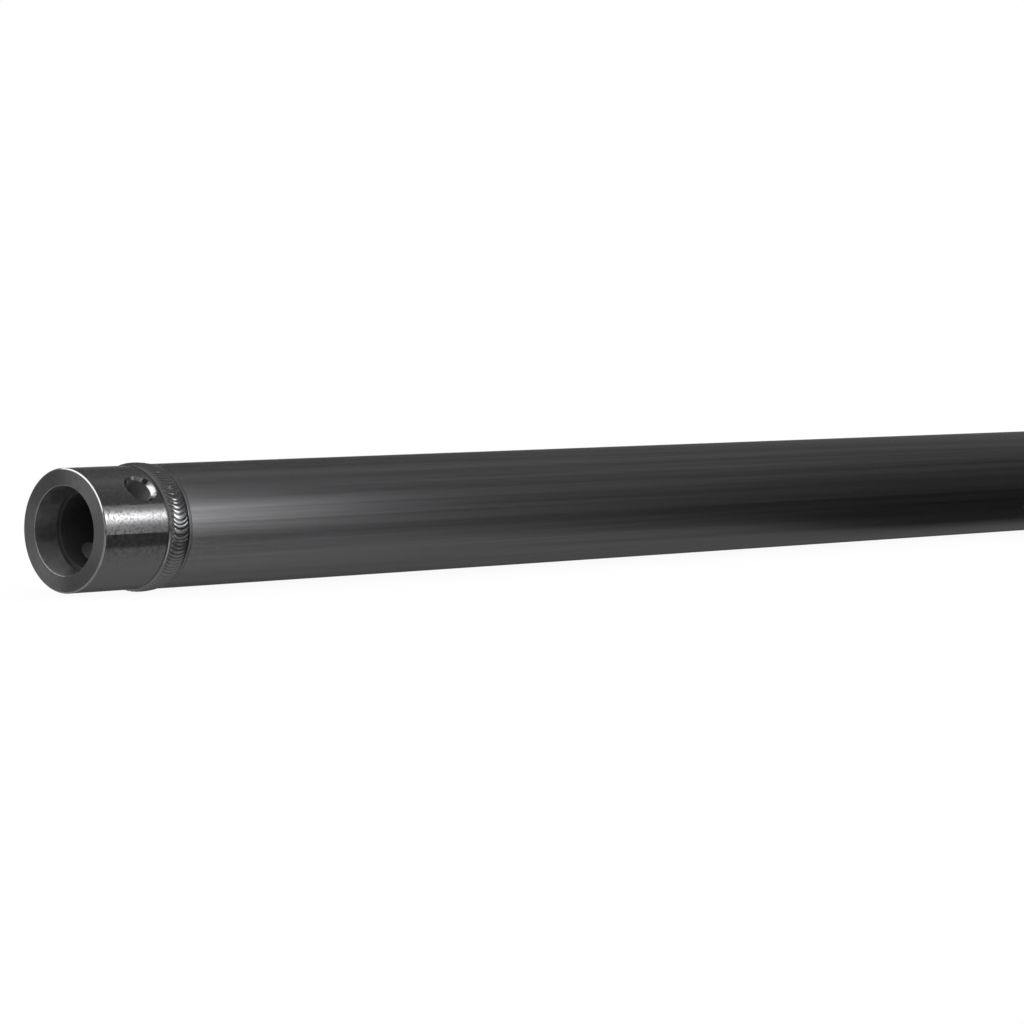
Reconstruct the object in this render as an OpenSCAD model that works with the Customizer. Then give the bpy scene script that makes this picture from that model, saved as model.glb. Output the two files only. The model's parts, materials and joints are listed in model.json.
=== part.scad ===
// Round aluminium tube with a turned socket welded into each end.
// Millimetres. The tube lies along X, and its middle is the origin.
// A joining spigot slides into each socket, and a cross pin locks it.

/* [Tube] */
// Length from end face to end face
length = 1000; // [300:50:3000]
// Outside diameter of the tube
tube_d = 50; // [48:0.5:52]
// Wall thickness of the tube
tube_wall = 2; // [2:0.5:4]

/* [Socket piece] */
// Outside diameter of the part that shows, a little less than the tube's
receiver_d = 49.4; // [47:0.1:49.5]
// Length of the socket piece from its end face to its end inside the tube
receiver_l = 62; // [55:1:90]
// Bevel round the end face
rim_bevel = 0.6; // [0.2:0.1:1.5]
// Diameter of the tapered seat at its mouth
seat_mouth_d = 35.4; // [33:0.1:38]
// Diameter of the tapered seat at its inner end
seat_end_d = 34.5; // [32:0.1:35]
// Depth of the tapered seat
seat_l = 10.7; // [8:0.1:16]
// Length of the sloping ledge between the seat and the bore
ledge_l = 0.3; // [0.2:0.1:3]
// Diameter of the straight bore
bore_d = 30; // [24:0.5:31]
// Bevel round the seat's mouth
mouth_bevel = 0.4; // [0.1:0.1:1]

/* [Pin hole] */
// Distance of the hole's axis from the end face
pin_setback = 24.2; // [20:0.1:24.7]
// Turn of the hole's axis about the tube, from -Y up towards +Z
pin_roll = 43; // [0:1:90]
// Diameter of the hole in the wall where the tapered pin goes in
pin_d = 11.2; // [8:0.1:12]
// Diameter of the hole in the opposite wall, where the pin's thin end comes out
pin_end_d = 10; // [6:0.1:11]
// Diameter of the wide hole's countersink at the outer surface
pin_sink_d = 14.8; // [12.5:0.1:15.2]

/* [Ring weld] */
// Distance of the weld's front edge from the end face
weld_start = 32.3; // [32.3:0.1:36]
// Width of the weld from edge to edge
weld_w = 12.9; // [8.5:0.1:13.5]
// Height of the weld's crown above the pieces that it joins
weld_crown = 1; // [0.6:0.05:2]
// Number of ripples around the weld
ripples = 88; // [40:1:96]
// Depth of the valleys between ripples
ripple_depth = 0.35; // [0.1:0.05:0.5]
// How far each ripple bows round the tube at its middle, in ripple widths
ripple_bow = 1.9; // [0:0.1:2.5]
// Width of the weld groove at the surface
groove_w = 5; // [4:0.1:6]
// Width of the weld groove at its root
root_w = 1.6; // [1:0.1:3]

/* [Hidden] */
$fn = 96;

tube_r = tube_d / 2;
tube_bore_r = tube_r - tube_wall;
receiver_r = receiver_d / 2;
spigot_r = tube_bore_r;
spigot_lead = 1;
bore_r = bore_d / 2;
bore_start = seat_l + ledge_l;

pin_sink_depth = (pin_sink_d - pin_d) / 2;

weld_mid = weld_start + weld_w / 2;
groove_start = weld_mid - groove_w / 2;
groove_end = weld_mid + groove_w / 2;
root_start = weld_mid - root_w / 2;
root_end = weld_mid + root_w / 2;

// The bead is a closed section carried round the tube in small steps.
steps_per_ripple = 3;
rings = ripples * steps_per_ripple;
crown_points = 7;
crown_fullness = 0.75;
// Corners of a ring lie this much further out, so that its flats clear the round parts.
flat_clearance = 1 / cos(180 / rings);
// Underside of the bead, from the tube back to the socket piece, as [x, radius]
underside = [
    [groove_end, tube_r],
    [root_end, tube_bore_r],
    [root_start, tube_bore_r],
    [groove_start, receiver_r]
];
section_points = crown_points + len(underside);

// Turns a profile of [x, radius] points into a round solid about the X axis.
module turned(profile) {
    rotate([0, 90, 0])
        rotate_extrude()
            polygon([for (p = profile) [p[1], p[0]]]);
}

// Sets a piece drawn from an end face inwards at the front end of the tube.
module at_front() {
    translate([-length / 2, 0, 0]) children();
}

// Sets the same piece at the back end, the mirror of the front.
module at_back() {
    mirror([1, 0, 0]) at_front() children();
}

// Drawn tube, with each end bevelled for the weld.
module tube() {
    near = -length / 2;
    color("dimgray")
        turned([
            [near + root_end, tube_bore_r],
            [near + groove_end, tube_r],
            [-near - groove_end, tube_r],
            [-near - root_end, tube_bore_r]
        ]);
}

// Body of the socket piece: a collar that shows, and a spigot inside the tube.
module receiver_body() {
    turned([
        [0, receiver_r - rim_bevel],
        [rim_bevel, receiver_r],
        [groove_start, receiver_r],
        [root_start, spigot_r],
        [receiver_l - spigot_lead, spigot_r],
        [receiver_l, spigot_r - spigot_lead],
        [receiver_l, bore_r],
        [bore_start, bore_r],
        [seat_l, seat_end_d / 2],
        [mouth_bevel, seat_mouth_d / 2],
        [0, seat_mouth_d / 2 + mouth_bevel]
    ]);
}

// Hole through one wall, along +Z from the tube's axis, countersunk outside.
module pin_hole_half(hole_r) {
    cylinder(h = tube_d, r = hole_r);
    translate([0, 0, receiver_r - pin_sink_depth])
        cylinder(h = 2 * pin_sink_depth, r1 = hole_r, r2 = hole_r + 2 * pin_sink_depth);
}

// Pin hole through both walls, wider in the wall where the tapered pin goes in.
module pin_hole() {
    translate([pin_setback, 0, 0])
        rotate([90 - pin_roll, 0, 0]) {
            pin_hole_half(pin_d / 2);
            mirror([0, 0, 1]) pin_hole_half(pin_end_d / 2);
        }
}

module receiver() {
    color("gray")
        difference() {
            receiver_body();
            pin_hole();
        }
}

// Height lost to the valley between two ripples: 1 in the valley, 0 on the ripple.
function valley(phase) = pow(2 * phase - 1, 2);

// Radius of the bead, with side from -1 at the front edge to 1 at the back edge.
function bead_r(side, phase) =
    (receiver_r + tube_r) / 2 + side * (tube_r - receiver_r) / 2
    + weld_crown * pow(1 - side * side, crown_fullness)
    - ripple_depth * (1 - side * side) * valley(phase);

// A point at distance x, at this radius and angle, with the angle from -Y towards +Z.
function round_tube(x, r, angle) = [x, -r * cos(angle), r * sin(angle)];

// Point of the crown: the ripples bow back round the tube at the middle.
function crown_point(ring, i) =
    let (
        side = 2 * i / (crown_points - 1) - 1,
        turn = ring / steps_per_ripple - ripple_bow * (1 - side * side),
        phase = (ring % steps_per_ripple) / steps_per_ripple
    )
    round_tube(
        weld_mid + side * weld_w / 2,
        bead_r(side, phase) * flat_clearance,
        turn * 360 / ripples
    );

function underside_point(ring, i) =
    round_tube(underside[i][0], underside[i][1] * flat_clearance, ring * 360 / rings);

function section_point(ring, i) =
    i < crown_points ? crown_point(ring, i) : underside_point(ring, i - crown_points);

// Number of a point, with both counts running round.
function point_number(ring, i) = (ring % rings) * section_points + i % section_points;

// Ring weld: a rippled bead, with its root in the groove between the two pieces.
module weld() {
    color("silver")
        polyhedron(
            points = [
                for (ring = [0 : rings - 1], i = [0 : section_points - 1]) section_point(ring, i)
            ],
            faces = [
                for (ring = [0 : rings - 1], i = [0 : section_points - 1])
                    let (
                        a = point_number(ring, i),
                        b = point_number(ring + 1, i),
                        c = point_number(ring + 1, i + 1),
                        d = point_number(ring, i + 1)
                    )
                    each [[a, b, c], [a, c, d]]
            ]
        );
}

tube();
at_front() receiver();  // front_receiver
at_back() receiver();  // back_receiver
at_front() weld();  // front_weld
at_back() weld();  // back_weld
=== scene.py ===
# %% [markdown]
# This lesson dresses a round aluminium tube of the kind used for stage framing. On the real
# object a drawn tube carries a turned socket at each end, and a ripple of weld metal runs
# round each joint. The frame brings the five pieces at their true size and place, as plain
# triangles. Triangles would show as flats in polished metal, so each piece is made again here
# with finer faces, in the same place and to the same sizes.

# %% Load the frame
import json
import math
import bmesh
import bpy
from mathutils import Matrix, Vector


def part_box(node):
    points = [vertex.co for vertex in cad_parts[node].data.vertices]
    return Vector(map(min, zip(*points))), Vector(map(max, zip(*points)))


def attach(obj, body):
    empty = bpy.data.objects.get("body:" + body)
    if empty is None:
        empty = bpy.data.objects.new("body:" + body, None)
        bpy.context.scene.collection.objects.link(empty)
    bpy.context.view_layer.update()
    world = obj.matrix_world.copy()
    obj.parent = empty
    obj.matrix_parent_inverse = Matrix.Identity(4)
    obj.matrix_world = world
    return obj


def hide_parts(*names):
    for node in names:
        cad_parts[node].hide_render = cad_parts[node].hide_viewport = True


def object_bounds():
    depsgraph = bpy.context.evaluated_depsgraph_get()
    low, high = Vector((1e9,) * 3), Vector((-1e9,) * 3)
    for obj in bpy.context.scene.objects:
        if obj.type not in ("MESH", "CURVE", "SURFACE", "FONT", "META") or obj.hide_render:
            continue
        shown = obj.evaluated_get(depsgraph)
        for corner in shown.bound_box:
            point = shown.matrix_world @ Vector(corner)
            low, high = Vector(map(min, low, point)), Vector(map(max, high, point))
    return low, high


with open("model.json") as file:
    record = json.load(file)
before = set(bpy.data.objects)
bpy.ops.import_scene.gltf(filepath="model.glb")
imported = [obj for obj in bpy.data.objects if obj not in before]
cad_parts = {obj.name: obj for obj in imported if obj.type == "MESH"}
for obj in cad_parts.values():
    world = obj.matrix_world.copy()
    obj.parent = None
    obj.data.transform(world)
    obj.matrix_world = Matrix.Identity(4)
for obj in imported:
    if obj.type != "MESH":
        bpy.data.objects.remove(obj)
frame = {"nodes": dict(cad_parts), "record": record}
cad_low, cad_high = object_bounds()
print("the whole tube measures", [round(v, 4) for v in cad_high - cad_low], "metres")

# %% [markdown]
# The camera comes first, because it decides how fine the detail has to be. The photograph was
# taken from the side and a little in front of the near end face, with a long lens, and the
# tube runs away to the right. Its place is measured from the centre of that end face, so it
# would still be right if the tube were made longer.

# %% Camera
mm = 0.001
front_x = cad_low.x
camera_from_face = Vector((-1014.6, -1199.6, 86.4)) * mm
camera_tilt = math.radians(2.896)
camera_turn = math.radians(46.64)
lens_length = 140.38

camera_data = bpy.data.cameras.new("camera")
camera_data.lens = lens_length
camera_data.sensor_width = 36
camera = bpy.data.objects.new("camera", camera_data)
camera.location = Vector((front_x, 0, 0)) + camera_from_face
camera.rotation_euler = (math.radians(90) - camera_tilt, 0, -camera_turn)
bpy.context.scene.collection.objects.link(camera)
bpy.context.scene.camera = camera
bpy.context.scene.view_settings.view_transform = "Standard"
print("camera stands", round(camera_from_face.length, 3), "metres from the end face")

# %% [markdown]
# Sizes come from the frame wherever it gives them: the box of each node, and the mounts of the
# record for the bore and the pin hole. The rest are the turned sizes of the socket, in
# millimetres as a workshop drawing has them. Every profile below is a list of points, each a
# distance from the end face and a radius.

# %% Sizes
record_mounts = {mount["name"]: mount for mount in frame["record"]["mounts"]}
tube_low, tube_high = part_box("tube")
receiver_low, receiver_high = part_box("front_receiver")
weld_low, weld_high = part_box("front_weld")

half_length = (cad_high.x - cad_low.x) / 2
tube_r = tube_high.z
receiver_r = receiver_high.z
receiver_l = receiver_high.x - receiver_low.x
bore_r = record_mounts["front_bore"]["dims"]["r_mm"] * mm
pin_entry = record_mounts["front_pin_hole"]
pin_exit = record_mounts["front_pin_exit"]
pin_r = pin_entry["dims"]["r_mm"] * mm
pin_end_r = pin_exit["dims"]["r_mm"] * mm
pin_place = Vector(pin_entry["pos_m"])
pin_axis = Vector(pin_entry["axis"])
pin_setback = pin_place.x - front_x
pin_sink_start = pin_place.yz.length + pin_entry["dims"]["length_mm"] * mm / 2
weld_start = weld_low.x - front_x
weld_w = weld_high.x - weld_low.x

tube_wall = 2 * mm
tube_bore_r = tube_r - tube_wall
spigot_lead = 1 * mm
rim_bevel = 0.6 * mm
seat_mouth_r = 17.7 * mm
seat_end_r = 17.25 * mm
seat_l = 10.7 * mm
ledge_l = 0.3 * mm
mouth_bevel = 0.4 * mm
weld_mid = weld_start + weld_w / 2
groove_w = 5 * mm
root_w = 1.6 * mm
groove_start = weld_mid - groove_w / 2
groove_end = weld_mid + groove_w / 2
root_start = weld_mid - root_w / 2
root_end = weld_mid + root_w / 2
print("socket", round(receiver_l / mm, 1), "mm long, weld", round(weld_w / mm, 1), "mm wide")

# %% [markdown]
# Five small helpers serve the whole file. The first adds a node to any tree, sets its
# properties and fills or links its inputs, so that a material reads as a list of what feeds
# what. The second turns a colour written as a hex value into the linear numbers that the
# renderer works in. The next two make a material, either empty or with its shader in place,
# and the last one makes a colour ramp.

# %% Helpers for nodes and colours
def add(tree, kind, inputs=(), **settings):
    """Adds a node, sets its properties, and fills its inputs or links them to sockets."""
    made = tree.nodes.new(kind)
    for name, value in settings.items():
        setattr(made, name, value)
    for key, value in dict(inputs).items():
        if isinstance(value, bpy.types.NodeSocket):
            tree.links.new(value, made.inputs[key])
        else:
            made.inputs[key].default_value = value
    return made


def linear(hex_colour):
    """An sRGB colour such as "#808080" as linear red, green, blue and alpha."""
    values = [int(hex_colour[i:i + 2], 16) / 255 for i in (1, 3, 5)]
    return [v / 12.92 if v <= 0.04045 else ((v + 0.055) / 1.055) ** 2.4 for v in values] + [1]


def empty_material(name):
    """A material without any nodes, as (material, tree)."""
    material = bpy.data.materials.new(name)
    material.use_nodes = True
    material.node_tree.nodes.clear()
    return material, material.node_tree


def new_material(name):
    """A material with a bare Principled shader, as (material, tree, shader)."""
    material, tree = empty_material(name)
    shader = add(tree, "ShaderNodeBsdfPrincipled")
    add(tree, "ShaderNodeOutputMaterial", {"Surface": shader.outputs["BSDF"]})
    return material, tree, shader


def ramp(tree, factor, stops):
    """A colour ramp, with stops as (place, colour or grey level)."""
    node = add(tree, "ShaderNodeValToRGB", {"Fac": factor})
    while len(node.color_ramp.elements) < len(stops):
        node.color_ramp.elements.new(0.5)
    for element, (place, colour) in zip(node.color_ramp.elements, stops):
        element.position = place
        element.color = linear(colour) if isinstance(colour, str) else (colour,) * 3 + (1,)
    return node.outputs["Color"]


print("a grey of #808080 gives back", round(linear("#808080")[0], 3), "of the light")

# %% [markdown]
# The tube is drawn aluminium: it was pulled through a ring, which leaves fine lines along its
# length. They scatter light across themselves, so a lamp shows as a soft broad band round the
# tube. Anisotropy gives that, with its tangent running round the X axis. The lines are noise
# stretched along X. Real ones are a few hundredths of a millimetre apart, which is too fine to
# show, so they are drawn about half a millimetre apart. Wider bands of the same kind make
# streaks along the wall, each a shade lighter or darker than the next. At a glancing angle any
# clean metal turns white, and a thin film of oxide and grime holds this one a shade back.

# %% Drawn aluminium
edge_tint = "#bcbcbc"


def metal_shader(shader, spread):
    """The values that are the same all over a metal: full metal, its spread and its edge."""
    shader.inputs["Metallic"].default_value = 1
    shader.inputs["Anisotropic"].default_value = spread
    shader.inputs["Specular Tint"].default_value = linear(edge_tint)


def drawn_aluminium():
    """The long plain wall, with fine lines and wider bands along it."""
    line_spacing = 0.5 * mm
    line_length = 120 * mm
    line_height = 0.01 * mm
    band_spacing = 3 * mm
    band_share = 0.6
    material, tree, shader = new_material("drawn aluminium")
    place = add(tree, "ShaderNodeTexCoord").outputs["Object"]
    stretch = line_spacing / line_length
    along = add(tree, "ShaderNodeMapping", {"Vector": place, "Scale": (stretch, 1, 1)})
    lines = add(tree, "ShaderNodeTexNoise", {
        "Vector": along.outputs["Vector"], "Scale": 1 / line_spacing, "Detail": 3.0})
    bands = add(tree, "ShaderNodeTexNoise", {
        "Vector": along.outputs["Vector"], "Scale": 1 / band_spacing, "Detail": 2.0})
    mixed = add(tree, "ShaderNodeMix", {
        "Factor": band_share, 2: lines.outputs["Fac"], 3: bands.outputs["Fac"]},
        data_type="FLOAT")
    tint = ramp(tree, mixed.outputs[0], [(0.35, "#434344"), (0.65, "#565657")])
    tree.links.new(tint, shader.inputs["Base Color"])
    gloss = add(tree, "ShaderNodeMapRange", {
        "Value": lines.outputs["Fac"], "To Min": 0.22, "To Max": 0.27})
    tree.links.new(gloss.outputs["Result"], shader.inputs["Roughness"])
    metal_shader(shader, 1.0)
    tangent = add(tree, "ShaderNodeTangent", direction_type="RADIAL", axis="X")
    tree.links.new(tangent.outputs["Tangent"], shader.inputs["Tangent"])
    bump = add(tree, "ShaderNodeBump", {
        "Height": lines.outputs["Fac"], "Strength": 0.25, "Distance": line_height})
    tree.links.new(bump.outputs["Normal"], shader.inputs["Normal"])
    return material


drawn = drawn_aluminium()
print("made", drawn.name)

# %% [markdown]
# The socket is turned aluminium, cut on a lathe with a fine feed. The tool leaves rings round
# the outside and circles on the end face. Both are one pattern: noise that reads only the
# distance along X and the radius, and so is the same all the way round. The rings scatter
# light along the tube and leave it sharp round the tube, which is the opposite of the drawn
# lines, so here the anisotropy is turned by a quarter. The socket's outside is cut fine enough
# to mirror a lamp, but handling has dulled it in patches, so the lamp's line breaks up. The
# end face is cut a little coarser, so its circles fan the light out, and the boring bar inside
# cuts coarser still. The drill leaves the dullest wall of all, and the ledge behind the seat
# is painted darker. Bevels are cut last and catch a lamp as a crisp bright line.

# %% Turned aluminium
def turned_aluminium(name, dark, light, roughness_low, roughness_high, spread,
                     mottle_size=2.2 * mm):
    """A finish from the lathe: fine rings, and patches between two levels of roughness."""
    feed = 0.45 * mm
    ring_height = 0.005 * mm
    dent_depth = 0.01 * mm
    mottle_share = 0.6
    quarter_turn = 0.25
    material, tree, shader = new_material(name)
    place = add(tree, "ShaderNodeTexCoord").outputs["Object"]
    parts = add(tree, "ShaderNodeSeparateXYZ", {"Vector": place})
    across = add(tree, "ShaderNodeCombineXYZ", {"Y": parts.outputs["Y"], "Z": parts.outputs["Z"]})
    radius = add(tree, "ShaderNodeVectorMath", {0: across.outputs["Vector"]}, operation="LENGTH")
    round_place = add(tree, "ShaderNodeCombineXYZ", {
        "X": parts.outputs["X"], "Y": radius.outputs["Value"]})
    rings = add(tree, "ShaderNodeTexNoise", {
        "Vector": round_place.outputs["Vector"], "Scale": 1 / feed, "Detail": 2.0},
        noise_dimensions="2D")
    mottle = add(tree, "ShaderNodeTexNoise", {
        "Vector": place, "Scale": 1 / mottle_size, "Detail": 4.0, "Roughness": 0.5})
    mixed = add(tree, "ShaderNodeMix", {
        "Factor": mottle_share, 2: rings.outputs["Fac"], 3: mottle.outputs["Fac"]},
        data_type="FLOAT")
    tint = ramp(tree, mixed.outputs[0], [(0.35, dark), (0.65, light)])
    tree.links.new(tint, shader.inputs["Base Color"])
    gloss = add(tree, "ShaderNodeMapRange", {
        "Value": mottle.outputs["Fac"], "From Min": 0.38, "From Max": 0.62,
        "To Min": roughness_low, "To Max": roughness_high})
    tree.links.new(gloss.outputs["Result"], shader.inputs["Roughness"])
    metal_shader(shader, spread)
    shader.inputs["Anisotropic Rotation"].default_value = quarter_turn
    tangent = add(tree, "ShaderNodeTangent", direction_type="RADIAL", axis="X")
    tree.links.new(tangent.outputs["Tangent"], shader.inputs["Tangent"])
    fine = add(tree, "ShaderNodeBump", {
        "Height": rings.outputs["Fac"], "Strength": 0.2, "Distance": ring_height})
    rough = add(tree, "ShaderNodeBump", {
        "Height": mottle.outputs["Fac"], "Strength": 0.6, "Distance": dent_depth,
        "Normal": fine.outputs["Normal"]})
    tree.links.new(rough.outputs["Normal"], shader.inputs["Normal"])
    return material


collar_finish = turned_aluminium(
    "turned aluminium", "#4d4d4d", "#535354", 0.04, 0.24, spread=1.0, mottle_size=1.2 * mm)
face_finish = turned_aluminium("faced aluminium", "#484848", "#525253", 0.3, 0.36, spread=1.0)
seat_finish = turned_aluminium("bored aluminium", "#505050", "#5c5c5d", 0.45, 0.55, spread=0.85)
bore_finish = turned_aluminium("deep bored aluminium", "#4a4a4a", "#525252", 0.6, 0.7, spread=0.0)
hole_finish = turned_aluminium("drilled aluminium", "#686868", "#808081", 0.85, 0.95, spread=0.0)
# The ledge behind the seat is painted darker than the seat round it.
corner_finish = turned_aluminium("dark ledge aluminium", "#424242", "#4c4c4c", 0.45, 0.55, spread=0.0)
cut_finish = turned_aluminium("fresh cut aluminium", "#686868", "#6e6e6f", 0.12, 0.2, spread=0.0)
finishes = [
    collar_finish, seat_finish, bore_finish, hole_finish, cut_finish, face_finish, corner_finish,
]
print("made", ", ".join(finish.name for finish in finishes))

# %% [markdown]
# Weld metal froze in steps as the torch went round, and each step left a bright crescent with
# a darker line of oxide in the valley behind it. The bead below stores how deep each point
# lies in a valley or at the bead's edges, and the material reads that to darken it: partly for
# oxide and soot, and partly as painted shade in the creases of the valleys and toes. The bead
# keeps the skin that it froze with, so a lamp glints in each ripple. Its narrow ledge on the
# tube was brushed clean afterwards, which left it dull.

# %% Weld metal
def weld_metal():
    """The skin of the bead, which reads the values valley and brushed on its points."""
    grain_size = 1.2 * mm
    grain_height = 0.02 * mm
    brushed_roughness = 0.6
    material, tree, shader = new_material("weld metal")
    place = add(tree, "ShaderNodeTexCoord").outputs["Object"]
    valley = add(tree, "ShaderNodeAttribute", attribute_name="valley")
    # The darker stops paint the valleys and toes: partly oxide and soot, partly painted shade in
    # those creases.
    tint = ramp(tree, valley.outputs["Fac"], [
        (0.0, "#5a5a5b"), (0.5, "#484849"), (1.0, "#303030")])
    tree.links.new(tint, shader.inputs["Base Color"])
    grain = add(tree, "ShaderNodeTexNoise", {
        "Vector": place, "Scale": 1 / grain_size, "Detail": 2.0})
    gloss = add(tree, "ShaderNodeMapRange", {
        "Value": grain.outputs["Fac"], "To Min": 0.14, "To Max": 0.24})
    brushed = add(tree, "ShaderNodeAttribute", attribute_name="brushed")
    worn = add(tree, "ShaderNodeMix", {
        "Factor": brushed.outputs["Fac"], 2: gloss.outputs["Result"], 3: brushed_roughness},
        data_type="FLOAT")
    tree.links.new(worn.outputs[0], shader.inputs["Roughness"])
    metal_shader(shader, 0.0)
    bump = add(tree, "ShaderNodeBump", {
        "Height": grain.outputs["Fac"], "Strength": 0.5, "Distance": grain_height})
    tree.links.new(bump.outputs["Normal"], shader.inputs["Normal"])
    return material


weld_finish = weld_metal()
print("made", weld_finish.name)

# %% [markdown]
# Round metal parts are made as a lathe makes them: a profile is carried round an axis. A real
# edge is never perfectly sharp, and the thin bright line along it is what tells the eye so.
# The first helper therefore rounds every corner of a profile by a small curve. Smooth shading
# would let that curve bend the light on the long flats beside it, so one more point stands
# close to each side of a corner and holds them flat. The second helper carries the profile
# round the X axis, and recalculates the normals so that they point outwards. The third turns a
# piece with modifiers into a plain mesh with its finishes, and the last one mirrors a finished
# piece to the back end.

# %% Helpers for turned shapes
edge = 0.12 * mm


def rounded(points, size, steps=2):
    """A closed profile with each corner rounded by size, and with points that hold flats flat."""
    hold = 3
    least_flat = 7
    made = []
    for i, corner in enumerate(points):
        corner = Vector(corner)
        before = Vector(points[i - 1]) - corner
        after = Vector(points[(i + 1) % len(points)]) - corner
        if before.angle(after) > math.radians(179):
            made.append(corner)
            continue
        start = corner + before.normalized() * min(size, before.length / 3)
        end = corner + after.normalized() * min(size, after.length / 3)
        if before.length > least_flat * size:
            made.append(corner + before.normalized() * hold * size)
        for step in range(steps + 1):
            share = step / steps
            made.append(start.lerp(corner, share).lerp(corner.lerp(end, share), share))
        if after.length > least_flat * size:
            made.append(corner + after.normalized() * hold * size)
    return made


def turned(name, profile, around=256):
    """A mesh object: the closed profile of (x, radius) points, carried round the X axis."""
    shape = bmesh.new()
    rings = []
    for step in range(around):
        angle = 2 * math.pi * step / around
        rings.append([
            shape.verts.new((x, -r * math.cos(angle), r * math.sin(angle))) for x, r in profile])
    for ring, following in zip(rings, rings[1:] + rings[:1]):
        for i in range(len(profile)):
            j = (i + 1) % len(profile)
            shape.faces.new((ring[i], ring[j], following[j], following[i]))
    bmesh.ops.remove_doubles(shape, verts=shape.verts, dist=1e-7)
    bmesh.ops.recalc_face_normals(shape, faces=shape.faces)
    mesh = bpy.data.meshes.new(name)
    shape.to_mesh(mesh)
    shape.free()
    made = bpy.data.objects.new(name, mesh)
    bpy.context.scene.collection.objects.link(made)
    return made


def finish_mesh(name, source, materials, sharp_angle=30):
    """The evaluated source as a plain mesh object, smooth but for its sharp edges."""
    graph = bpy.context.evaluated_depsgraph_get()
    mesh = bpy.data.meshes.new_from_object(source.evaluated_get(graph))
    mesh.name = name
    mesh.shade_smooth()
    mesh.set_sharp_from_angle(angle=math.radians(sharp_angle))
    mesh.materials.clear()
    for material in materials:
        mesh.materials.append(material)
    made = bpy.data.objects.new(name, mesh)
    bpy.context.scene.collection.objects.link(made)
    bpy.data.objects.remove(source)
    return made


def mirrored(name, source):
    """A copy of a piece for the back end, the mirror of the front one."""
    mesh = source.data.copy()
    mesh.transform(Matrix.Scale(-1, 4, (1, 0, 0)))
    mesh.flip_normals()
    made = bpy.data.objects.new(name, mesh)
    bpy.context.scene.collection.objects.link(made)
    return made


print("edges are rounded by", edge / mm, "mm")

# %% [markdown]
# The tube is one profile: a wall two millimetres thick, with each end bevelled for the weld.
# Its ends hide under the weld metal, so only the long plain wall shows.

# %% Tube
tube_profile = [
    (-half_length + root_end, tube_bore_r),
    (-half_length + groove_end, tube_r),
    (half_length - groove_end, tube_r),
    (half_length - root_end, tube_bore_r),
]
tube = finish_mesh("drawn_tube", turned("tube_blank", rounded(tube_profile, edge)), [drawn])
print("tube has", len(tube.data.polygons), "faces")

# %% [markdown]
# The socket is turned first and drilled after, as in the workshop. Its profile starts at the
# end face, runs along the outside to the spigot that sits in the tube, and comes back through
# the bore. A plain ring on each side of the pin hole keeps the faces that the drill cuts short,
# so that the light on the collar runs on undisturbed.

# %% Profile of the socket
cut_start = pin_setback - pin_r - 3 * mm
cut_end = pin_setback + pin_r + 3 * mm
round_edge = mouth_bevel * (1 - math.cos(math.radians(45)))
socket_profile = [
    (0, receiver_r - rim_bevel),
    (rim_bevel, receiver_r),
    (cut_start, receiver_r),
    (cut_end, receiver_r),
    (groove_start, receiver_r),
    (root_start, tube_bore_r),
    (receiver_l - spigot_lead, tube_bore_r),
    (receiver_l, tube_bore_r - spigot_lead),
    (receiver_l, bore_r),
    (cut_end, bore_r),
    (cut_start, bore_r),
    (seat_l + ledge_l, bore_r),
    (seat_l, seat_end_r),
    (mouth_bevel, seat_mouth_r),
    (round_edge, seat_mouth_r + round_edge),
    (0, seat_mouth_r + mouth_bevel),
]
print("the socket's profile has", len(socket_profile), "corners")

# %% [markdown]
# The drill is a turned shape too, wider in the wall where the tapered pin goes in. It has a
# countersink at each mouth and a last shallow cone that takes the burr off. It is turned along
# X like every other shape here and then swung round to the pin's axis.

# %% Pin drill
def drill_side(hole_r):
    """Half of the drill's outline, from the tube's axis out to the air."""
    sink_depth = receiver_r - pin_sink_start
    burr = 0.25 * mm
    reach = receiver_r + 3 * mm
    return [
        (0, hole_r),
        (pin_sink_start, hole_r),
        (receiver_r - burr, hole_r + sink_depth - burr),
        (receiver_r, hole_r + sink_depth + burr / 2),
        (reach, hole_r + sink_depth + reach - receiver_r + burr),
        (reach, 0),
    ]


def pin_drill():
    """The pin hole as a solid, standing at the front end along the hole's axis."""
    outline = [(-x, r) for x, r in reversed(drill_side(pin_end_r))] + drill_side(pin_r)
    drill = turned("drill", outline, around=128)
    turn = Vector((1, 0, 0)).rotation_difference(pin_axis).to_matrix().to_4x4()
    drill.data.transform(Matrix.Translation((front_x + pin_setback, 0, 0)) @ turn)
    return drill


print("the drill is", round(2 * pin_r / mm, 1), "and", round(2 * pin_end_r / mm, 1), "mm wide")

# %% [markdown]
# A Boolean modifier cuts the drill out of the turned socket, and the evaluated result is kept
# as a plain mesh. Each tool left its own finish, so every face gets the finish of the tool that
# reached it last. Its place tells which that was, and where two cuts meet, the way it faces.

# %% Sockets
def finish_of(face):
    """The finish of one face of the front socket."""
    pin_centre = Vector((front_x + pin_setback, 0, 0))
    sink_reach = 2.5 * mm
    from_pin = (face.center - pin_centre).cross(pin_axis).length
    radius = math.hypot(face.center.y, face.center.z)
    depth = face.center.x - front_x
    slanting = 0.5 < abs(face.normal.dot(pin_axis)) < 0.9
    if from_pin < pin_r + edge and radius > bore_r:
        return hole_finish
    if from_pin < pin_r + sink_reach and radius > bore_r + edge and slanting:
        return cut_finish
    if radius < bore_r + edge:
        return bore_finish
    if radius < seat_mouth_r + edge / 2 and depth < seat_l + ledge_l:
        return corner_finish if depth > seat_l else seat_finish
    if depth < rim_bevel:
        return face_finish if abs(face.normal.x) > 0.95 else cut_finish
    return collar_finish


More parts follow.
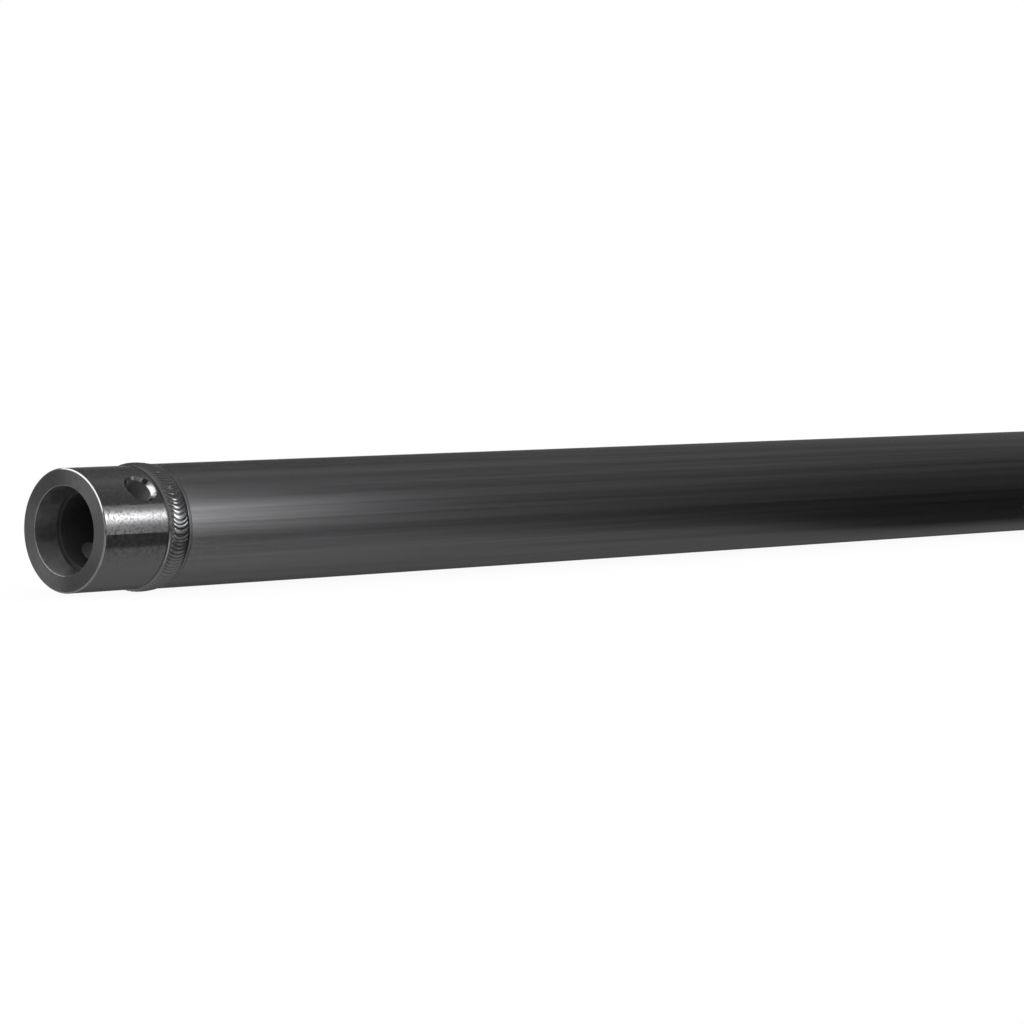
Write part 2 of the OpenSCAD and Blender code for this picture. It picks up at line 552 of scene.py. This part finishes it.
def front_socket():
    """The front socket, drilled, at its place in the frame."""
    profile = [(front_x + x, r) for x, r in rounded(socket_profile, edge)]
    blank = turned("socket_blank", profile, around=512)
    drill = pin_drill()
    cut = blank.modifiers.new("drill", "BOOLEAN")
    cut.object = drill
    cut.operation = "DIFFERENCE"
    cut.solver = "EXACT"
    made = finish_mesh("front_socket", blank, finishes)
    bpy.data.objects.remove(drill)
    for face in made.data.polygons:
        face.material_index = finishes.index(finish_of(face))
    return made


front_receiver = front_socket()
back_receiver = mirrored("back_socket", front_receiver)
print("socket has", len(front_receiver.data.polygons), "faces")

# %% [markdown]
# The weld is the piece that takes most care. A welder dips the rod once for each ripple, and
# the pool freezes in a crescent that bows back along the bead. It could be sculpted, or a
# crescent could be repeated on a circle, but a real bead is one skin. So Geometry Nodes carry
# a section round the tube in many fine steps and push its points in by a formula.
#
# The base mesh is the section itself, as a row of points. Each holds how far the ripples bow
# there and how deep they are. Both fade towards the edges, where a real bead is smooth because
# it wets the cooler metal. Each also holds how much darker it is painted there and how far it
# is brushed: the toes are darkened, partly for the soot that gathers where the metal runs thin
# and partly as painted shade in the creases there. The section rises steeply from the
# collar, eases over a round crown and drops to a narrow ledge on the tube. Its corners are
# listed in millimetres, as the distance from the weld's front edge and the height above the
# collar. The places where the ripples fade run from -1 at the front edge to 1 at the back.

# %% Section of the weld
crown_corners = [
    (0.0, 0.0), (0.75, 0.005), (1.3, 0.36), (2.2, 0.7), (2.7, 0.92), (3.3, 1.03),
    (4.3, 1.08), (5.2, 1.1), (5.9, 1.1), (6.7, 1.075), (7.5, 1.03), (8.4, 0.96),
    (9.3, 0.87), (10.1, 0.76), (11.0, 0.42), (12.2, 0.4), (12.9, 0.3),
]
toes = (0.35, 10.9, 12.85)
toe_width = 0.4
ledge_middle = 12.1
ledge_width = 0.6
smooth_front = -0.77
smooth_back = 0.63
smooth_fade = 0.12


def hump(value, middle, width, power=2):
    """1 at the middle, falling smoothly to nothing on both sides of it."""
    return math.exp(-((value - middle) / width) ** power)


def softened(points, rounds=2):
    """The same open line with its corners cut, each time a quarter of the way along."""
    for _ in range(rounds):
        made = [points[0]]
        for start, end in zip(points, points[1:]):
            made.append(start.lerp(end, 0.25))
            made.append(start.lerp(end, 0.75))
        points = made + [points[-1]]
    return points


def ripple_share(side):
    """How deep the ripples are at this side: all of it in the middle, none on the flanks."""
    front = (side - smooth_front) / smooth_fade
    back = (smooth_back - side) / smooth_fade
    share = min(1, max(0, min(front, back)))
    return share * share * (3 - 2 * share)


def weld_section():
    """The section as an object of loose points, with its four values on each."""
    crown = softened([Vector(corner) * mm for corner in crown_corners])
    points = [(front_x + weld_start + p.x, 0, receiver_r + p.y) for p in crown]
    sides = [2 * p.x / weld_w - 1 for p in crown]
    bows = [1 - side * side for side in sides]
    depths = [ripple_share(side) for side in sides]
    # Each toe is painted darker: partly soot, partly painted shade in the crease there.
    soots_and_shades = [max(hump(p.x / mm, toe, toe_width) for toe in toes) for p in crown]
    brushes = [hump(p.x / mm, ledge_middle, ledge_width, power=4) for p in crown]
    root = [
        (groove_end, tube_r), (root_end, tube_bore_r),
        (root_start, tube_bore_r), (groove_start, receiver_r),
    ]
    points += [(front_x + x, 0, r) for x, r in root]
    bows += [0] * len(root)
    depths += [0] * len(root)
    soots_and_shades += [1] * len(root)
    brushes += [0] * len(root)
    mesh = bpy.data.meshes.new("weld_section")
    mesh.from_pydata(points, [], [])
    for name, values in (
        ("bow", bows), ("depth", depths), ("soot_and_shade", soots_and_shades), ("brushed", brushes),
    ):
        mesh.attributes.new(name, "FLOAT", "POINT").data.foreach_set("value", values)
    made = bpy.data.objects.new("weld_section", mesh)
    bpy.context.scene.collection.objects.link(made)
    return made


print("the weld's crown stands", max(y for x, y in crown_corners), "mm over the collar")

# %% [markdown]
# The tree makes a grid with one column for each point of the section and one row for each
# step round the tube. Every grid point looks up its section point, works out its angle, and
# moves there. A welder turns the tube four times to get round it, and works faster in the
# middle of each stretch, so the ripples are wider there: that is the input Pace. Each ripple
# leans a little on the one before it, so its crest lies below its middle. A little noise makes
# the hand uneven, and its seed is fixed.

# %% Node tree of the weld
stretches = 4.0
stretch_turn = math.radians(8)
lean = 0.78
oxide_and_shade_share = 0.6


def weld_tree():
    """The node group that carries the section round the tube and ripples it."""
    tree = bpy.data.node_groups.new("ring weld", "GeometryNodeTree")
    tree.interface.new_socket("Section", in_out="INPUT", socket_type="NodeSocketGeometry")
    for name, kind in (
        ("Ripples", "NodeSocketInt"), ("Steps per ripple", "NodeSocketInt"),
        ("Ripple depth", "NodeSocketFloat"), ("Ripple bow", "NodeSocketFloat"),
        ("Pace", "NodeSocketFloat"), ("Unevenness", "NodeSocketFloat"),
        ("Seed", "NodeSocketInt"),
        ("Material", "NodeSocketMaterial"),
    ):
        tree.interface.new_socket(name, in_out="INPUT", socket_type=kind)
    tree.interface.new_socket("Bead", in_out="OUTPUT", socket_type="NodeSocketGeometry")
    given = tree.nodes.new("NodeGroupInput").outputs

    def calc(operation, first, second=0.0):
        return add(tree, "ShaderNodeMath", {0: first, 1: second}, operation=operation).outputs[0]

    size = add(tree, "GeometryNodeAttributeDomainSize", {"Geometry": given["Section"]})
    columns = size.outputs["Point Count"]
    steps = given["Steps per ripple"]
    rows = calc("MULTIPLY", given["Ripples"], steps)
    grid = add(tree, "GeometryNodeMeshGrid", {
        "Vertices X": calc("ADD", rows, 1.0), "Vertices Y": calc("ADD", columns, 1.0)})

    index = add(tree, "GeometryNodeInputIndex").outputs[0]
    row_length = calc("ADD", columns, 1.0)
    row = calc("FLOOR", calc("DIVIDE", calc("ADD", index, 0.5), row_length))
    place_in_row = calc("SUBTRACT", index, calc("MULTIPLY", row, row_length))
    column = calc("FLOORED_MODULO", place_in_row, columns)
    row = calc("FLOORED_MODULO", row, rows)

    def looked_up(field, kind):
        node = add(tree, "GeometryNodeSampleIndex", {
            "Geometry": given["Section"], "Index": column}, data_type=kind)
        tree.links.new(field, node.inputs["Value"])
        return node.outputs[0]

    def stored(name):
        field = add(tree, "GeometryNodeInputNamedAttribute", {"Name": name}, data_type="FLOAT")
        return looked_up(field.outputs["Attribute"], "FLOAT")

    section_place = looked_up(add(tree, "GeometryNodeInputPosition").outputs[0], "FLOAT_VECTOR")
    section_parts = add(tree, "ShaderNodeSeparateXYZ", {"Vector": section_place})
    bow = stored("bow")
    depth = stored("depth")
    soot_and_shade = stored("soot_and_shade")

    ripple = calc("DIVIDE", row, steps)
    number = calc("FLOOR", calc("ADD", ripple, 0.001))
    phase = calc("SUBTRACT", ripple, number)

    def circle_noise(scale, offset):
        """Noise between -0.5 and 0.5 that joins up with itself after a full turn."""
        turn = calc("MULTIPLY", calc("DIVIDE", row, rows), 2 * math.pi)
        spot = add(tree, "ShaderNodeCombineXYZ", {
            "X": calc("COSINE", turn), "Y": calc("SINE", turn), "Z": offset})
        noise = add(tree, "ShaderNodeTexNoise", {
            "Vector": spot.outputs[0], "W": given["Seed"], "Scale": scale, "Detail": 1.0},
            noise_dimensions="4D")
        return calc("SUBTRACT", noise.outputs["Fac"], 0.5)

    drift = calc("MULTIPLY", circle_noise(7.0, 0.0), calc("MULTIPLY", given["Unevenness"], 2.5))
    bow_amount = calc("MULTIPLY", given["Ripple bow"], calc("ADD", 1.0, circle_noise(5.0, 3.0)))
    turn = calc("SUBTRACT", ripple, calc("MULTIPLY", bow, calc("ADD", bow_amount, drift)))
    even = calc("MULTIPLY", calc("DIVIDE", turn, given["Ripples"]), 2 * math.pi)
    pace = calc("SINE", calc("MULTIPLY", calc("SUBTRACT", even, stretch_turn), stretches))
    angle = calc("ADD", even, calc("MULTIPLY", pace, calc("DIVIDE", given["Pace"], stretches)))

    leaning = calc("POWER", phase, lean)
    from_crest = calc("ABSOLUTE", calc("SUBTRACT", calc("MULTIPLY", leaning, 2.0), 1.0))
    valley = calc("POWER", from_crest, 2.0)
    chance = add(tree, "FunctionNodeRandomValue", {
        2: -0.5, 3: 0.5, "ID": number, "Seed": given["Seed"]}, data_type="FLOAT")
    height = calc("MULTIPLY", chance.outputs[1], calc("MULTIPLY", given["Unevenness"], 0.6))
    crest = calc("MULTIPLY", calc("SUBTRACT", 1.0, valley), height)
    fall_share = calc("MULTIPLY", depth, calc("ADD", valley, crest))
    fall = calc("MULTIPLY", given["Ripple depth"], fall_share)
    radius = calc("SUBTRACT", section_parts.outputs["Z"], fall)

    sway = calc("MULTIPLY", circle_noise(9.0, 7.0), calc("MULTIPLY", given["Unevenness"], 0.8 * mm))
    distance = calc("ADD", section_parts.outputs["X"], calc("MULTIPLY", sway, depth))
    moved = add(tree, "ShaderNodeCombineXYZ", {
        "X": distance,
        "Y": calc("MULTIPLY", calc("MULTIPLY", radius, -1.0), calc("COSINE", angle)),
        "Z": calc("MULTIPLY", radius, calc("SINE", angle)),
    })
    # Each valley is painted darker: partly oxide, partly painted shade in the crease.
    oxide_and_shade = calc("MULTIPLY", calc("MULTIPLY", valley, depth), oxide_and_shade_share)
    marked = add(tree, "GeometryNodeStoreNamedAttribute", {
        "Geometry": grid.outputs["Mesh"], "Name": "valley",
        "Value": calc("ADD", oxide_and_shade, soot_and_shade)}, data_type="FLOAT")
    brushed = add(tree, "GeometryNodeStoreNamedAttribute", {
        "Geometry": marked.outputs["Geometry"], "Name": "brushed",
        "Value": stored("brushed")}, data_type="FLOAT")
    placed = add(tree, "GeometryNodeSetPosition", {
        "Geometry": brushed.outputs["Geometry"], "Position": moved.outputs[0]})
    joined = add(tree, "GeometryNodeMergeByDistance", {
        "Geometry": placed.outputs["Geometry"], "Distance": 0.0005 * mm})
    real = add(tree, "GeometryNodeRealizeInstances", {"Geometry": joined.outputs["Geometry"]})
    painted = add(tree, "GeometryNodeSetMaterial", {
        "Geometry": real.outputs["Geometry"], "Material": given["Material"]})
    add(tree, "NodeGroupOutput", {"Bead": painted.outputs["Geometry"]})
    return tree


weld_nodes = weld_tree()
print("weld tree has", len(weld_nodes.nodes), "nodes")

# %% [markdown]
# The modifier's inputs are set by each socket's identifier, before the object is evaluated
# for the first time. The result is taken as a plain mesh and the section is thrown away. The
# back weld is the mirror of the front one, as the back socket is.

# %% Welds
weld_settings = {
    "Ripples": 88,
    "Steps per ripple": 12,
    "Ripple depth": 0.15 * mm,
    "Ripple bow": 1.9,
    "Pace": 0.2,
    "Unevenness": 0.25,
    "Seed": 5,
    "Material": weld_finish,
}


def ring_weld(name):
    """One ring weld at the front end, as a plain mesh object."""
    section = weld_section()
    bead = section.modifiers.new("ring weld", "NODES")
    bead.node_group = weld_nodes
    for socket in weld_nodes.interface.items_tree:
        if socket.name in weld_settings:
            bead[socket.identifier] = weld_settings[socket.name]
    return finish_mesh(name, section, [weld_finish], sharp_angle=60)


front_weld = ring_weld("front_ring_weld")
shape = bmesh.new()
shape.from_mesh(front_weld.data)
bmesh.ops.recalc_face_normals(shape, faces=shape.faces)
open_edges = sum(1 for e in shape.edges if not e.is_manifold)
print("weld has", len(shape.faces), "faces,", open_edges, "open edges, volume", shape.calc_volume())
shape.to_mesh(front_weld.data)
shape.free()
back_weld = mirrored("back_ring_weld", front_weld)

# %% [markdown]
# Every piece rides on the one body and stands for its node, whose own triangles are hidden.
# Each row also gives a name for its material slot, which is not used here.

# %% Pieces and nodes
for piece, node, slot in (
    (tube, "tube", "drawn_tube"),
    (front_receiver, "front_receiver", "turned_socket"),
    (back_receiver, "back_receiver", "turned_socket"),
    (front_weld, "front_weld", "weld_bead"),
    (back_weld, "back_weld", "weld_bead"),
):
    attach(piece, "root")
    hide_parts(node)
print("five pieces stand for", len(frame["nodes"]), "nodes")

# %% [markdown]
# Dark polished metal has hardly any colour of its own: what it shows is the room. So the room
# is built as a photographer builds it, from sheets that stand round the tube and that only
# mirror rays see. Each is part of a cylinder about the tube's own axis, which makes it simple
# to place: a light at some angle shows as a line of light at about half that angle, along the
# whole tube. Angles start at -Y, where the camera stands, and rise towards +Z. Each corner of a
# sheet stores how bright it is there, so one material serves them all.

# %% Helpers for the studio
studio_r = 1.2


def eased(low, high, value):
    """0 below low, 1 above high, and a smooth rise between them."""
    share = min(1, max(0, (value - low) / (high - low)))
    return share * share * (3 - 2 * share)


def panel_material():
    """A glow as bright as the value level says; it is seen, but casts no light of its own."""
    material, tree = empty_material("studio panel")
    material.cycles.emission_sampling = "NONE"
    level = add(tree, "ShaderNodeAttribute", attribute_name="level")
    glow = add(tree, "ShaderNodeEmission", {"Strength": level.outputs["Fac"]})
    add(tree, "ShaderNodeOutputMaterial", {"Surface": glow.outputs[0]})
    return material


panel_finish = panel_material()


def studio_panel(name, reach, angles, level, parts):
    """A curved sheet; reach is from the front face, and level(x, angle) its brightness."""
    points, levels, faces = [], [], []
    for i in range(parts[0] + 1):
        x = reach[0] + (reach[1] - reach[0]) * i / parts[0]
        for j in range(parts[1] + 1):
            angle = angles[0] + (angles[1] - angles[0]) * j / parts[1]
            turn = math.radians(angle)
            across, up = -studio_r * math.cos(turn), studio_r * math.sin(turn)
            points.append((front_x + x, across, up))
            levels.append(level(x, angle))
    row = parts[1] + 1
    for i in range(parts[0]):
        for j in range(parts[1]):
            corner = i * row + j
            faces.append((corner, corner + 1, corner + row + 1, corner + row))
    mesh = bpy.data.meshes.new(name)
    mesh.from_pydata(points, [], faces)
    mesh.attributes.new("level", "FLOAT", "POINT").data.foreach_set("value", levels)
    mesh.materials.append(panel_finish)
    made = bpy.data.objects.new(name, mesh)
    bpy.context.scene.collection.objects.link(made)
    made.visible_camera = False
    made.visible_diffuse = False
    made.visible_shadow = False
    made.visible_transmission = False


print("the studio's sheets stand", studio_r, "metres from the tube's axis")

# %% [markdown]
# The levels below are shares of plain white, places are metres from the front end face, and
# angles are degrees. On the camera's side a soft box hangs over a black cloth, with one lamp
# behind its front end, so the collar shows a white line and the tube a grey one that dies away
# along it. The cloth hangs lower to the right, and there the tube goes darker. The ceiling is
# grey, and so is the room at the far end. Behind the tube hangs a pale sheet, for whoever looks
# from there. In front of the end face hang a second lamp, a black sheet under it and a white
# card low down, and beside it stand two pairs of cards. Only the bevels, the socket's mouth,
# the hole's edge and the weld see those, and the cards draw the faint fans on the end face.

# %% Studio panels
def soft_box_level(x, angle):
    """A soft box with one lamp behind its cloth, fading out to the right."""
    near = 1 - eased(0.92, 1.01, x)
    lamp = (14 + 16 * near) * hump(angle, 24 - 1.5 * near, 7.5 + 2 * near)
    skirt = (2 + near) * hump(angle, 21 - 3 * near, 14)
    end = 0.65 * (1 - eased(1.035, 1.06, x)) + 0.35 * (1 - eased(1.09, 1.36, x))
    room = 0.98 - 0.4 * eased(1.12, 1.56, x) - 0.27 * eased(1.5, 2.0, x)
    return room + (1.35 + 0.5 * near + skirt + lamp) * end


def black_cloth_level(x, angle):
    """A black cloth under the soft box, deeper to the right, over the white ground."""
    front = 1 - eased(0.75, 1.0, x)
    lower_edge = -33 - 27 * eased(1.25, 1.75, x) - 42 * eased(1.72, 2.05, x) - 25 * front
    dark = 0.26 + 0.2 * front - 0.16 * eased(1.4, 2.0, x)
    ground = 1.06 - 0.85 * (1 - eased(-150, -120, angle)) * eased(0.85, 0.98, x)
    soft = 3 + 20 * front
    return ground - (ground - dark) * eased(lower_edge - soft, lower_edge + soft, angle)


def front_room_level(x, angle):
    """The grey room in front of the soft box, darker near the cloth."""
    return 0.5 + 0.65 * eased(-4, 8, angle)


def top_lamp_level(x, angle):
    """A lamp strip that crosses over the front end at a slant."""
    middle = -1.25 + 0.0116 * (angle - 38)
    return 1 + 6 * (1 - eased(0.25, 0.35, abs(x - middle)))


def front_sheet_level(x, angle):
    """A black sheet in front of the hole's edge, with a thin arm that the mouth sees."""
    sheet = eased(6, 10, angle) * eased(-1.05, -0.95, x) * (1 - eased(-0.35, -0.25, x))
    arm = eased(-8, -5, angle) * (1 - eased(3, 6, angle))
    return 1.3 - 1.2 * max(sheet, 0.8 * arm)


def side_card_level(x, angle):
    """Two pairs of cards where the end face looks, each light one across from a dark one."""
    from_middle = x + 1
    below_middle = angle - 184
    far = eased(-0.15, 0.15, from_middle - 0.013 * below_middle)
    low = eased(-5, 5, below_middle + 13 * from_middle)
    return 0.65 + far * low + (1 - far) * (1 - low)


def ceiling_level(x, angle):
    """A grey ceiling, dark over the soft box, with one lighter strip, and dimmer to the right."""
    grey = 0.48 + 0.22 * eased(55, 100, angle)
    strip = 0.26 * hump(angle, 101, 9)
    dimmer = 0.35 * eased(1.6, 2.2, x) * (1 - eased(60, 115, angle))
    right = 1.1 + 0.17 * eased(1.15, 1.6, x) - dimmer
    back = 1 - 0.45 * eased(125, 150, angle)
    return (grey + strip) * right * back


def back_wall_level(x, angle):
    """A pale sheet behind the tube, greyer where its upper edge is seen from the camera."""
    return 1.1 - 0.7 * eased(0.85, 0.98, x) * (1 - eased(2.2, 2.6, x))


def plain(level):
    """A level that is the same all over a panel."""
    return lambda x, angle: level


box_near, box_far = 0.8, 2.7
box_low, box_high = -7.5, 45
ceiling_back = 165
room_end = 7.0

studio_panel("soft_box", (box_near, box_far), (box_low, box_high), soft_box_level, parts=(120, 40))
studio_panel("black_cloth", (0.0, box_far), (-175, box_low), black_cloth_level, parts=(54, 110))
studio_panel("front_room", (0.0, box_near), (box_low, box_high), front_room_level, parts=(8, 24))
studio_panel("ceiling", (0.2, box_far), (box_high, ceiling_back), ceiling_level, parts=(25, 60))
studio_panel("far_wall", (box_far, room_end), (-120, ceiling_back), plain(0.2), parts=(4, 60))
studio_panel("back_wall", (0.0, room_end), (ceiling_back, 185), back_wall_level, parts=(70, 12))
studio_panel("top_lamp", (-1.6, 0.3), (38, 142), top_lamp_level, parts=(57, 30))
studio_panel("front_sheet", (-1.7, 0.0), (-18, 38), front_sheet_level, parts=(48, 36))
studio_panel("low_card", (-0.8, -0.1), (-60, -20), plain(2.2), parts=(8, 12))
studio_panel("side_cards", (-2.4, -0.2), (142, 225), side_card_level, parts=(44, 36))
print("ten sheets stand round the tube")

# %% [markdown]
# The set is plain: a white floor under a white sky. The floor gives most of its own white to
# the camera, so that it meets the sky without a line, and the rest of it is matte paint, which
# keeps a faint shadow under the tube. Metal doesn't mirror the floor, because the sheets of
# the studio take its place there.

# %% Floor and sky
white = (1, 1, 1, 1)


def background_rays(tree):
    """1 for a ray that sees the background straight, in metal or through glass, else 0."""
    ray = add(tree, "ShaderNodeLightPath")
    seen = add(tree, "ShaderNodeMath", {
        0: ray.outputs["Is Camera Ray"], 1: ray.outputs["Is Glossy Ray"]}, operation="MAXIMUM")
    seen = add(tree, "ShaderNodeMath", {
        0: seen.outputs[0], 1: ray.outputs["Is Transmission Ray"]}, operation="MAXIMUM")
    return seen.outputs[0]


def floor_material():
    """Matte white paint that mostly glows for the rays that see the background."""
    glow_share = 0.92
    material, tree = empty_material("white floor")
    matte = add(tree, "ShaderNodeBsdfDiffuse", {"Color": linear("#f2f2f2")})
    glow = add(tree, "ShaderNodeEmission", {"Color": white, "Strength": 1.02})
    share = add(tree, "ShaderNodeMath", {
        0: background_rays(tree), 1: glow_share}, operation="MULTIPLY")
    both = add(tree, "ShaderNodeMixShader", {
        0: share.outputs[0], 1: matte.outputs[0], 2: glow.outputs[0]})
    add(tree, "ShaderNodeOutputMaterial", {"Surface": both.outputs[0]})
    return material


floor_size = 30
floor_mesh = bpy.data.meshes.new("floor")
floor_corner = floor_size / 2
floor_mesh.from_pydata(
    [(x, y, cad_low.z) for x, y in (
        (-floor_corner, -floor_corner), (floor_corner, -floor_corner),
        (floor_corner, floor_corner), (-floor_corner, floor_corner))],
    [], [(0, 1, 2, 3)])
floor_mesh.materials.append(floor_material())
floor = bpy.data.objects.new("floor", floor_mesh)
bpy.context.scene.collection.objects.link(floor)
floor.visible_glossy = False

world = bpy.data.worlds.new("white sky")
bpy.context.scene.world = world
world.use_nodes = True
world.node_tree.nodes.clear()
sky_level = add(world.node_tree, "ShaderNodeMapRange", {
    "Value": background_rays(world.node_tree), "To Min": 0.9, "To Max": 1.0})
sky = add(world.node_tree, "ShaderNodeBackground", {
    "Color": white, "Strength": sky_level.outputs["Result"]})
add(world.node_tree, "ShaderNodeOutputWorld", {"Surface": sky.outputs[0]})
print("floor at", round(cad_low.z / mm, 2), "mm")
